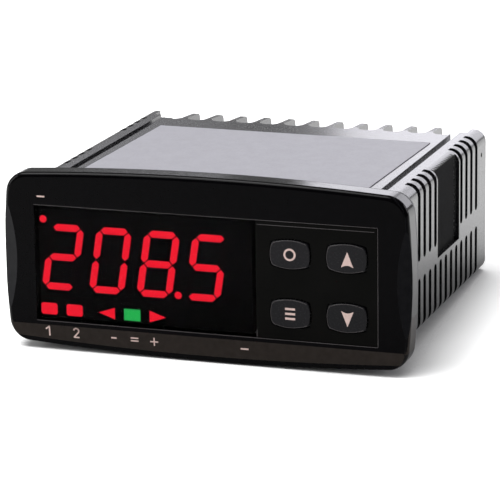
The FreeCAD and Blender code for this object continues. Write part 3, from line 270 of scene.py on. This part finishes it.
ink_pale = finish("ink_pale", tuple(0.93 * c for c in INK), INK, (0.5, 0.65),
                  grain=3000, relief=0.1)
# Painted highlight: the pale grey of the lines that stand for lit edges on the key caps, the
# window recess and the keypad plate.
highlight_grey = finish("highlight_grey", (0.050, 0.045, 0.046), (0.072, 0.066, 0.068), (0.4, 0.5),
                   grain=3000, specular=0.1)
# Painted shade: the dull black of the sheet laid over the ratchet teeth.
ratchet_shade_black = finish("ratchet_shade_black", (0.004, 0.004, 0.0045), (0.008, 0.008, 0.009),
                       (0.45, 0.6), grain=2200, relief=0.2, specular=0.1)
led_red = glow("led_red", LED_RED, 0.95, (0.05, 0.002, 0.004))
led_green = glow("led_green", LED_GREEN, 0.95, (0.004, 0.05, 0.01))

FINISHES = {
    "housing": housing_plastic, "front_bezel": bezel_gloss, "panel_gasket": gasket_rubber,
    "display_window": window_glass(), "keypad_plate": keypad_film,
    "display_module": display_black, "digit_bars_lit": led_red, "digit_bars_dark": digit_dark,
    "status_lights_red": led_red, "status_light_green": led_green, "front_board": board_green,
    "main_board": board_green, "header_strip": soft_black, "header_pins": tinned,
    "controller_chip": soft_black, "bridge_rectifier": soft_black,
    "film_capacitor": film_yellow, "output_relays": relay_blue,
    "smoothing_capacitors": can_metal, "transformer_foot": soft_black,
    "transformer_core": ferrite, "transformer_winding": winding_tape,
    "terminal_block": terminal_grey, "wire_clamps": tinned, "terminal_screws": screw_steel,
    "terminal_pins": tinned, "top_label": label_film,
}
for key in KEY_NAMES:
    FINISHES[f"key_{key}"] = key_plastic
    FINISHES[f"switch_{key}"] = soft_black
    FINISHES[f"plunger_{key}"] = soft_black
for node, material in FINISHES.items():
    dress(node, material)


# -------------------------------------------------------------------- printing


def centre_of(node):
    """The middle of a CAD node's box, in millimetres."""
    low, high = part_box(node)
    return (low + high) / 2 / MM


def place_piece(name, made, material, body):
    """Turns the built faces into a dressed piece that rides on a body."""
    bmesh.ops.recalc_face_normals(made, faces=made.faces)
    data = bpy.data.meshes.new(name)
    made.to_mesh(data)
    made.free()
    data.materials.append(material)
    thing = bpy.data.objects.new(name, data)
    bpy.context.scene.collection.objects.link(thing)
    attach(thing, body)


def printed(name, outlines, face, body, material=ink_pale):
    """Flat ink that stands a hair proud of a face that looks along -Y. Each outline is a
    list of X and Z in millimetres; the face gives its Y at a height."""
    made = bmesh.new()
    for outline in outlines:
        ends = []
        for proud in (0, PRINT_HEIGHT):
            ends.append([made.verts.new((x * MM, face(z) - proud, z * MM)) for x, z in outline])
        made.faces.new(ends[0])
        made.faces.new(list(reversed(ends[1])))
        for i in range(len(outline)):
            j = (i + 1) % len(outline)
            made.faces.new((ends[0][j], ends[0][i], ends[1][i], ends[1][j]))
    place_piece(name, made, material, body)


def bar(left, right, low, high):
    """An upright rectangle."""
    return [(left, low), (right, low), (right, high), (left, high)]


def ring(across, up, outer, inner, parts=40):
    """A ring as short closed blocks."""
    blocks = []
    for i in range(parts):
        a, b = (2 * math.pi * (i + k) / parts for k in (0, 1))
        blocks.append([(across + r * math.cos(t), up + r * math.sin(t))
                       for r, t in ((inner, a), (outer, a), (outer, b), (inner, b))])
    return blocks


def arrow(across, up, width, height, sign, parts=8):
    """A slim triangle that points up or down, its base hollowed."""
    tip = (across, up + sign * height / 2)
    foot = up - sign * height / 2
    base = [(across + width * (i / parts - 0.5),
             foot + sign * 0.16 * width * math.sin(math.pi * i / parts))
            for i in range(parts + 1)]
    return [[tip, *base]]


def stroke(points, width):
    """A pen line as short closed blocks, one for each run."""
    blocks = []
    for start, end in zip(points, points[1:]):
        a, b = Vector(start), Vector(end)
        along = (b - a).normalized()
        out = Vector((-along.y, along.x)) * width / 2
        a, b = a - along * width / 4, b + along * width / 4
        blocks.append([tuple(a - out), tuple(b - out), tuple(b + out), tuple(a + out)])
    return blocks


def figure(digit, across, up, height):
    """A plain 1 or 2 with rounded turns."""
    half = 0.28 * height
    if digit == 1:
        points = [(-half, 0.22 * height), (0.1 * height, height / 2), (0.1 * height, -height / 2)]
    else:
        bend = [(half * math.cos(t), 0.5 * height - half + half * math.sin(t))
                for t in (math.radians(a) for a in range(165, -45, -15))]
        points = [*bend, (-half, -height / 2), (half, -height / 2)]
    return stroke([(across + x, up + z) for x, z in points], 0.15 * height)


# The frame's front plane, its lowest edge, where the lower border starts to slope, and how far
# it falls back, in millimetres.
FRAME_FRONT, FRAME_LOW, LIP_LOW, LOWER_FALL = -6.0, -17.2, -12.55, 0.5


def key_level(z):
    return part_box("key_up")[0].y


def film_level(z):
    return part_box("keypad_plate")[0].y


def frame_level(z):
    """Y of the frame's front, flat down to the lip and then sloping back."""
    return (FRAME_FRONT + LOWER_FALL * max(0.0, LIP_LOW - z) / (LIP_LOW - FRAME_LOW)) * MM


window_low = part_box("display_window")[0] / MM
plate_low, plate_high = (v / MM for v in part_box("keypad_plate"))
for key, sign in (("up", 1), ("down", -1)):
    middle = centre_of(f"key_{key}")
    printed(f"arrow_{key}", arrow(middle.x + 0.15, middle.z - 0.15, 2.3, 2.9, sign), key_level,
            f"{key}_key")
middle = centre_of("key_function")
printed("sign_function", ring(middle.x, middle.z, 1.15, 0.78), key_level, "function_key")
middle = centre_of("key_program")
printed("sign_program", [bar(middle.x - 0.95, middle.x + 0.95, middle.z + s, middle.z + s + 0.4)
                         for s in (-1.1, -0.2, 0.7)], key_level, "program_key")


# Widths of the painted highlight lines on the key caps and along the window recess and keypad
# plate.
RIM_LINE, LINE = 0.10, 0.11


def key_edge_highlight(key):
    """A thin grey line along the top, left and bottom edge of a key cap, which stands for the
    edge that the photograph shows lit."""
    middle = centre_of(f"key_{key}")
    half_w, half_h, bow_w, bow_h = 3.66, 2.56, 0.35, 0.55
    corner_x, corner_z = half_w - bow_w - 0.22, half_h - bow_h - 0.12
    spans = [-1 + i / 6 for i in range(13)]
    upper = [(corner_x * t, half_h - bow_h * t * t) for t in reversed(spans)]
    left = [(-half_w + bow_w * t * t, corner_z * t) for t in reversed(spans[1:-1])]
    lower = [(x, -z) for x, z in reversed(upper)]
    line = [(middle.x + x, middle.z + z) for x, z in (*upper, *left, *lower)]
    printed(f"edge_highlight_{key}", stroke(line, RIM_LINE), key_level, f"{key}_key", highlight_grey)


for key in KEY_NAMES:
    key_edge_highlight(key)

FIGURE_HEIGHT, FIGURE_LEVEL = 1.75, -13.75
signs = [
    *figure(1, -30.6, FIGURE_LEVEL, FIGURE_HEIGHT),
    *figure(2, -25.1, FIGURE_LEVEL, FIGURE_HEIGHT),
    bar(-18.25, -17.2, -14.25, -13.95),  # minus
    bar(-14.4, -12.9, -13.95, -13.7), bar(-14.4, -12.9, -14.5, -14.25),  # equals
    bar(-10.6, -9.05, -14.35, -14.1), bar(-9.94, -9.7, -15.0, -13.45),  # plus
    bar(-32.1, -30.6, 11.6, 11.9), bar(6.9, 8.4, -14.3, -14.0),  # dashes in place of words
]
printed("frame_signs", signs, frame_level, "instrument")

edge_low, edge_high = plate_low.z - 0.1, plate_high.z + 0.1
edge_left, edge_right = window_low.x - 0.1, plate_high.x + 0.1
# Painted highlight: thin grey lines along the top, bottom and right edge of the window recess and
# along the top and left edge of the keypad plate, which stand for these edges catching the light.
printed("recess_edge_highlights", [
    bar(edge_left, edge_right, edge_high, edge_high + LINE),
    bar(edge_left, edge_right, edge_low - LINE, edge_low),
    bar(edge_right, edge_right + LINE, edge_low, edge_high),
], frame_level, "instrument", highlight_grey)
printed("keypad_edge_highlights", [
    bar(plate_low.x + 0.25, plate_high.x - 0.5, plate_high.z - 0.72, plate_high.z - 0.72 + LINE),
    bar(plate_low.x, plate_low.x + LINE, plate_low.z + 0.1, plate_low.z + 1.4),
], film_level, "instrument", highlight_grey)


def ratchet_painted_shade(name, side):
    """Painted shade: a matt black sheet over the saw teeth that lock the bracket, which stands
    for the shade in the recess that holds them.
    """
    front, pitch, count, crest, depth = 24.65, 1.2, 12, 34.5, 0.6
    low, high, proud = -2.88, 13.4, 0.03
    lines = []
    for i in range(count):
        start = front + i * pitch
        lines += [(crest - depth + 0.02, start + 0.03), (crest, start + pitch - 0.02)]
    made = bmesh.new()
    layers = []
    for offset in (0.004, proud):
        for z in (low, high):
            layers.append([made.verts.new((side * (x + offset) * MM, y * MM, z * MM))
                           for x, y in lines])
    inner_low, inner_high, outer_low, outer_high = layers
    for i in range(len(lines) - 1):
        for a, b in ((inner_low, inner_high), (outer_low, outer_high), (inner_low, outer_low),
                     (inner_high, outer_high)):
            made.faces.new((a[i], a[i + 1], b[i + 1], b[i]))
    for i in (0, -1):
        made.faces.new((inner_low[i], outer_low[i], outer_high[i], inner_high[i]))
    place_piece(name, made, ratchet_shade_black, "instrument")


ratchet_painted_shade("ratchet_painted_shade_right", 1)
ratchet_painted_shade("ratchet_painted_shade_left", -1)


# ------------------------------------------------------------------------ stage


# How much the floor glows, and how its glow fades near the object for the camera and for
# gloss: the reach, and the openness where it is gone and where it is full.
FLOOR_LIFT = 0.62
CAMERA_FADE = (60 * MM, 0.45, 0.68)
MIRROR_FADE = (140 * MM, 0.86, 0.97)
FLOOR_SIZE, FLOOR_SHADE, FLOOR_GAP = 4, (0.8, 0.8, 0.8), 0.02 * MM
# Where the front frame and the housing touch the floor, along Y.
RIM_BACK, HOUSING_BACK = -1.8 * MM, 60 * MM
WORLD_LIGHT = 0.22


def nook_fade(tree, reach, dark, clear):
    """0 in tight corners near the object and 1 in the open."""
    nook = tree.nodes.new("ShaderNodeAmbientOcclusion")
    nook.samples = 8
    nook.inputs["Distance"].default_value = reach
    fade = tree.nodes.new("ShaderNodeMapRange")
    fade.inputs["From Min"].default_value = dark
    fade.inputs["From Max"].default_value = clear
    tree.links.new(nook.outputs["AO"], fade.inputs["Value"])
    return fade.outputs["Result"]


def studio_white(name, color):
    """A pale surface that the camera and the gloss see as plain white, but for the shadow."""
    material, tree, shader = new_material(name)
    broad = noise(tree, 8, 2.0)
    tree.links.new(shades(tree, broad, color, tuple(0.99 * c for c in color)),
                   shader.inputs["Base Color"])
    shader.inputs["Roughness"].default_value = 0.9
    shader.inputs["Specular IOR Level"].default_value = 0.0
    path = tree.nodes.new("ShaderNodeLightPath")
    seen = math_node(tree, "MULTIPLY", path.outputs["Is Camera Ray"],
                     nook_fade(tree, *CAMERA_FADE))
    mirrored = math_node(tree, "ADD", path.outputs["Is Glossy Ray"],
                         path.outputs["Is Transmission Ray"])
    mirrored = math_node(tree, "MULTIPLY", mirrored, nook_fade(tree, *MIRROR_FADE))
    lift = math_node(tree, "MULTIPLY", math_node(tree, "ADD", seen, mirrored), FLOOR_LIFT)
    shader.inputs["Emission Color"].default_value = (1, 1, 1, 1)
    tree.links.new(lift, shader.inputs["Emission Strength"])
    return material


rim_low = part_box("front_bezel")[0].z
housing_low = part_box("housing")[0].z
seat = Vector((0, RIM_BACK, rim_low))
tilt = math.atan2(housing_low - rim_low, HOUSING_BACK - RIM_BACK)

made = bmesh.new()
bmesh.ops.create_grid(made, x_segments=8, y_segments=8, size=FLOOR_SIZE)
floor_data = bpy.data.meshes.new("floor")
made.to_mesh(floor_data)
made.free()
floor = bpy.data.objects.new("floor", floor_data)
bpy.context.scene.collection.objects.link(floor)
floor.matrix_world = Matrix.Translation(seat - Vector((0, 0, FLOOR_GAP))) @ Matrix.Rotation(
    tilt, 4, "X")
floor_data.materials.append(studio_white("floor_white", FLOOR_SHADE))

world = bpy.data.worlds.new("studio")
bpy.context.scene.world = world
world.use_nodes = True
tree = world.node_tree
tree.nodes.clear()
out = tree.nodes.new("ShaderNodeOutputWorld")
sky = tree.nodes.new("ShaderNodeBackground")
sky.inputs["Color"].default_value = (1, 1, 1, 1)
sky.inputs["Strength"].default_value = WORLD_LIGHT
tree.links.new(sky.outputs["Background"], out.inputs["Surface"])


def softbox(name, place, target, width, height, watts, color=(1, 1, 1)):
    """A large soft lamp that looks at a point."""
    data = bpy.data.lights.new(name, "AREA")
    data.shape = "RECTANGLE"
    data.size = width
    data.size_y = height
    data.energy = watts
    data.color = color
    lamp = bpy.data.objects.new(name, data)
    bpy.context.scene.collection.objects.link(lamp)
    lamp.location = place
    lamp.rotation_euler = (Vector(target) - Vector(place)).to_track_quat("-Z", "Y").to_euler()
    lamp.visible_camera = False


LAVENDER = (0.94, 0.93, 1.0)
softbox("key_above", (-0.32, -0.2, 0.85), (0, 0.02, 0), 0.6, 0.6, 10.5)
softbox("left", (-0.75, -0.35, 0.25), (0, 0, 0), 0.4, 0.4, 3.2)
softbox("back", (0.09, 0.75, 0.21), (0.09, 0, 0.21), 0.6, 0.22, 1.15, LAVENDER)
softbox("back_left", (-0.31, 0.75, 0.265), (-0.31, 0, 0.265), 0.1, 0.09, 0.05, LAVENDER)
softbox("right", (0.75, 0.45, 0.30), (0, 0.03, 0), 0.5, 0.4, 2.0, (0.97, 0.96, 1.0))


# ----------------------------------------------------------------------- camera

AZIMUTH, ELEVATION, ROLL = (math.radians(v) for v in (18.986, 14.628, -0.791))
DISTANCE, ASIDE, UP = 552.122 * MM, 6.821 * MM, 2.197 * MM
SENSOR = 36.0
FOCAL_WIDTHS = 3028.93 / 500
back = Vector((math.sin(AZIMUTH) * math.cos(ELEVATION), -math.cos(AZIMUTH) * math.cos(ELEVATION),
               math.sin(ELEVATION)))
right = (-back).cross(Vector((0, 0, 1))).normalized()
above = right.cross(-back)
side = math.cos(ROLL) * right + math.sin(ROLL) * above
top = -math.sin(ROLL) * right + math.cos(ROLL) * above
lens = bpy.data.cameras.new("camera")
lens.sensor_width = SENSOR
lens.lens = FOCAL_WIDTHS * SENSOR
lens.shift_x = -0.00327
lens.shift_y = 0.00092
lens.clip_start = 0.01
lens.clip_end = 50.0
camera = bpy.data.objects.new("camera", lens)
bpy.context.scene.collection.objects.link(camera)
turn = Matrix((side, top, back)).transposed().to_4x4()
camera.matrix_world = Matrix.Translation(back * DISTANCE + side * ASIDE + top * UP) @ turn
bpy.context.scene.camera = camera
bpy.context.scene.view_settings.view_transform = "Standard"
